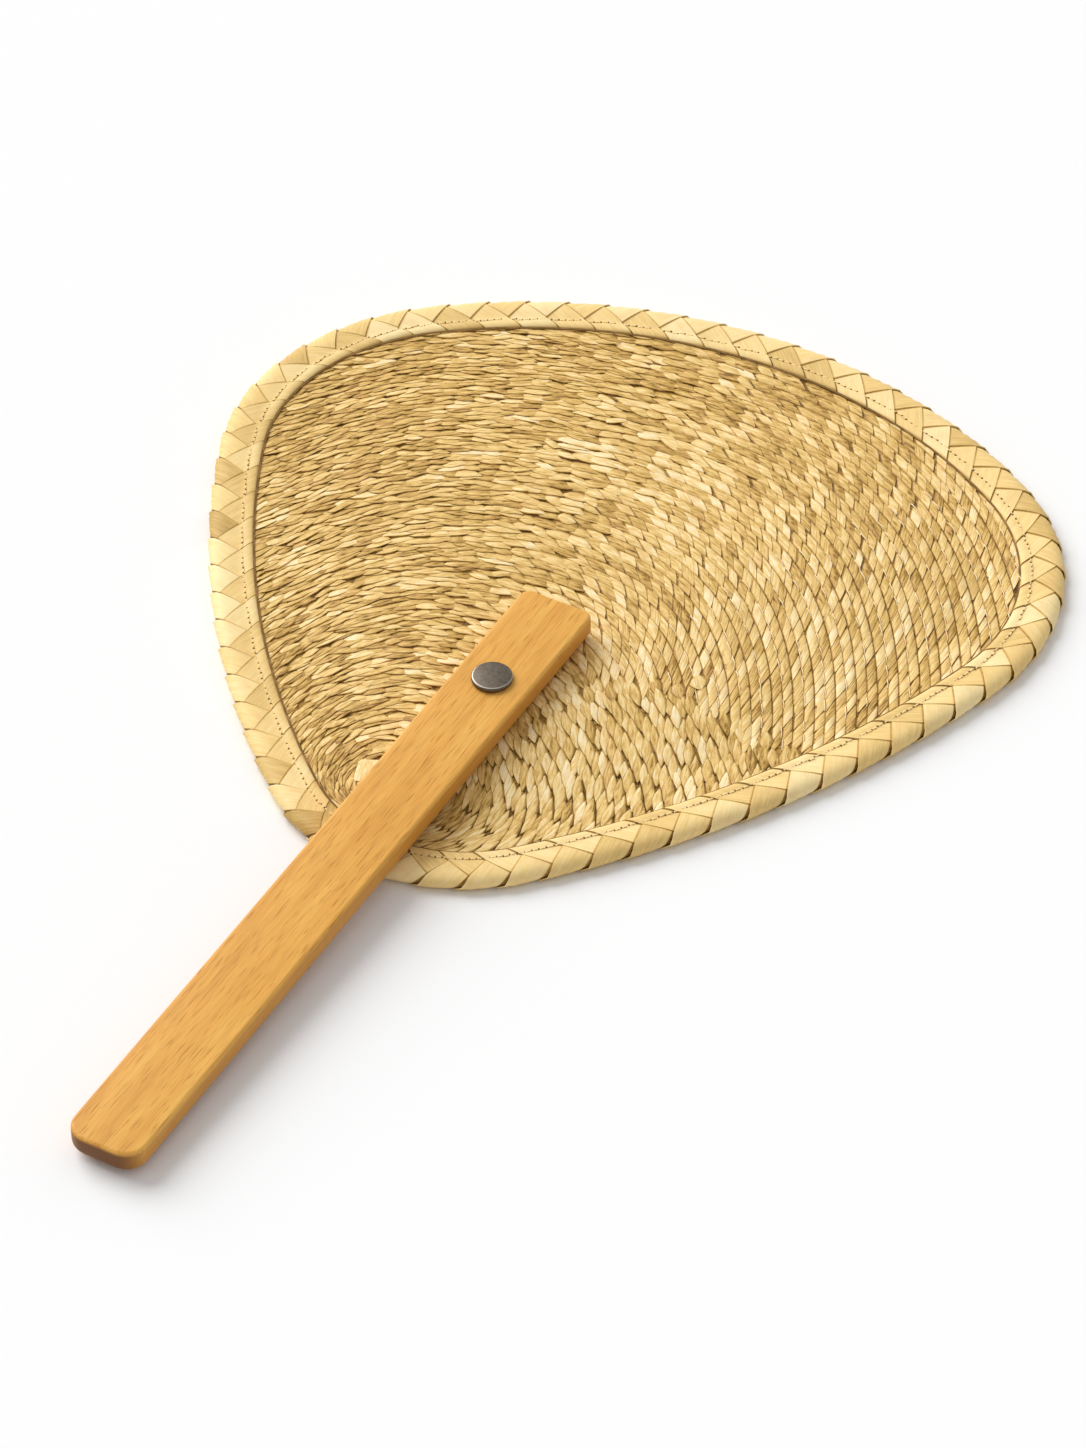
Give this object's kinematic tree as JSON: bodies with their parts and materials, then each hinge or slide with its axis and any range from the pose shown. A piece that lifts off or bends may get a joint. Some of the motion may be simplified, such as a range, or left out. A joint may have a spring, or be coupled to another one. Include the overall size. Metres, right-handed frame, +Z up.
{
  "type": "palm leaf hand fan",
  "caption": "Hand fan with a rounded triangular leaf of sewn palm plait, a folded chevron binding round its edge, and a flat wooden handle that swivels on a rivet.",
  "frame": {"origin": "on the table under the middle of the fan's bounding box, the fan lying on its back", "axes": "+Y along the handle from its hand's end to the top of the leaf, +X across the leaf, +Z up out of the front of the fan"},
  "size_m": [0.2708, 0.4132, 0.0177],
  "materials": {
    "plait": "dry plaited palm leaf, golden straw with darker seams, matt",
    "binding": "pale folded palm strips, matt with a faint waxy sheen",
    "wood": "golden brown hardwood lath with short pores, satin oil finish",
    "gunmetal": "dark gunmetal plating, smooth, worn bright along the rim"
  },
  "bodies": {
    "leaf": {"plait_core": "plait", "plait_row_01": "plait", "plait_row_02": "plait", "plait_row_03": "plait", "plait_row_04": "plait", "plait_row_05": "plait", "plait_row_06": "plait", "plait_row_07": "plait", "plait_row_08": "plait", "plait_row_09": "plait", "plait_row_10": "plait", "plait_row_11": "plait", "plait_row_12": "plait", "plait_row_13": "plait", "plait_row_14": "plait", "plait_row_15": "plait", "plait_row_16": "plait", "plait_row_17": "plait", "plait_row_18": "plait", "plait_row_19": "plait", "plait_row_20": "plait", "plait_row_21": "plait", "plait_row_22": "plait", "plait_row_23": "plait", "plait_row_24": "plait", "border_binding": "binding", "rivet_washer": "gunmetal"},
    "handle": {"handle_bar": "wood", "rivet_front_cap": "gunmetal", "rivet_post": "gunmetal"}
  },
  "joints": [
    {"name": "handle_swivel", "type": "hinge", "parent": "leaf", "child": "handle", "pos_m": [0.00717, 0.00954, 0.00776], "axis": [0, -0.029, 0.9996], "continuous": true}
  ]
}
